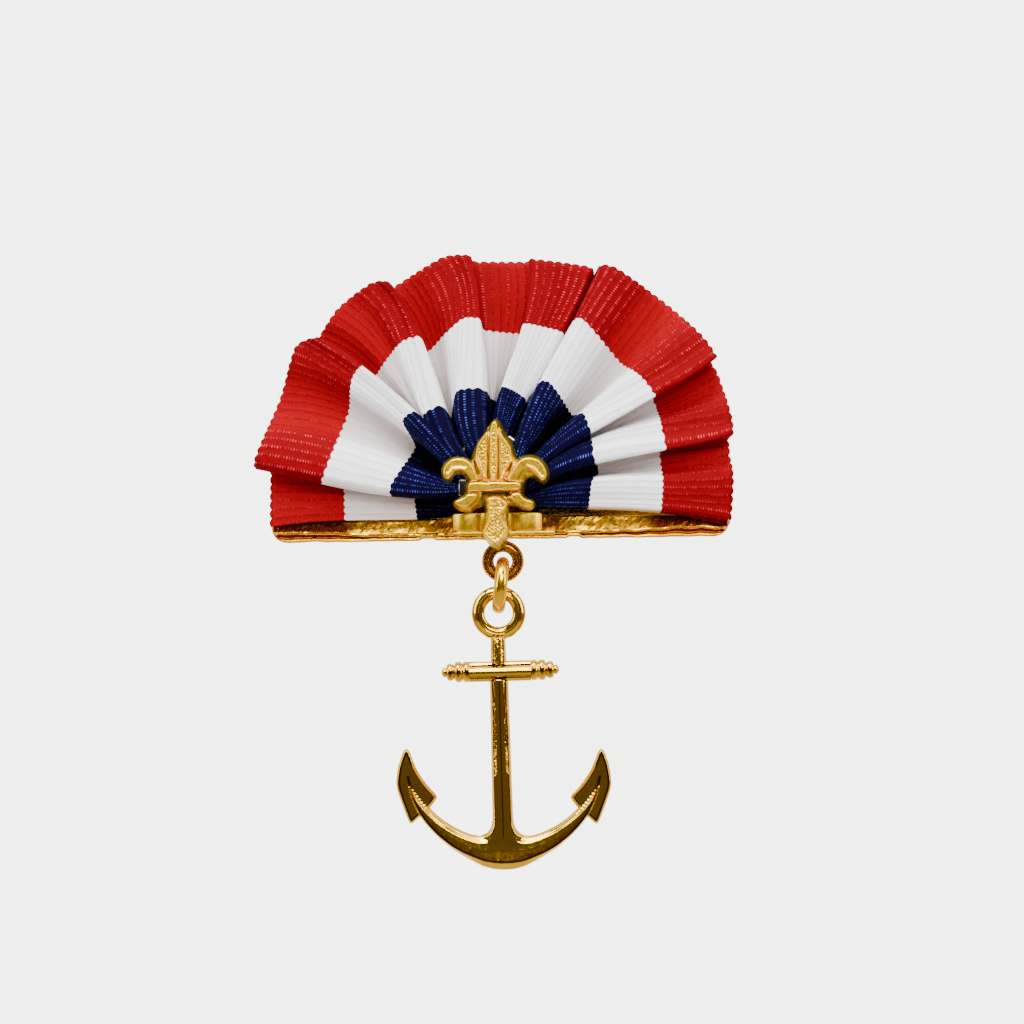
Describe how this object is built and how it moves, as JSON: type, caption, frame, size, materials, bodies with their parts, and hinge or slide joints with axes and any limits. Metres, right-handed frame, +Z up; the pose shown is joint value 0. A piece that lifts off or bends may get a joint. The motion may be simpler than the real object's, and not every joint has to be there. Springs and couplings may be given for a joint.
{
  "type": "ribbon brooch with an anchor drop",
  "caption": "Gathered tricolour ribbon fan on a gilt bar with a fleur-de-lis in front, and an anchor drop that swings from a rope-edged eye.",
  "frame": {"origin": "the middle of the pin's stem, at the back of the bar", "axes": "+Z up the brooch as worn, +X to the right seen from the front, and the front faces -Y"},
  "size_m": [0.0741, 0.0142, 0.0956],
  "materials": {
    "ribbon": "ribbed grosgrain in three equal stripes: red outside, white in the middle, navy inside",
    "gilt_sheet": "crinkled gilt sheet",
    "gilt_brushed": "brushed gilt",
    "gilt_matte": "matte gilt casting with bright edges",
    "silvered_wire": "bright silvered wire",
    "gilt_dark": "dark coppery gilt with beaded edges",
    "pin_steel": "plain steel",
    "gilt_satin": "satin gilt wire",
    "gilt_polished": "polished antique gilt"
  },
  "bodies": {
    "brooch": {"ribbon_fan": "ribbon", "bar": "gilt_sheet", "saddle": "gilt_brushed", "fleur_de_lis": "gilt_matte", "gather_wire": "silvered_wire", "drop_eye": "gilt_dark", "pin": "pin_steel"},
    "link": {"jump_ring": "gilt_satin"},
    "anchor": {"anchor": "gilt_polished"}
  },
  "joints": [
    {"name": "link_sway", "type": "hinge", "parent": "brooch", "child": "link", "pos_m": [0.00045, -0.008, -0.00984], "axis": [0, 1, 0], "range_deg": [-60, 60]},
    {"name": "anchor_swing", "type": "hinge", "parent": "link", "child": "anchor", "pos_m": [-0.00021, -0.008, -0.01432], "axis": [1, 0, 0], "range_deg": [-75, 75]}
  ]
}
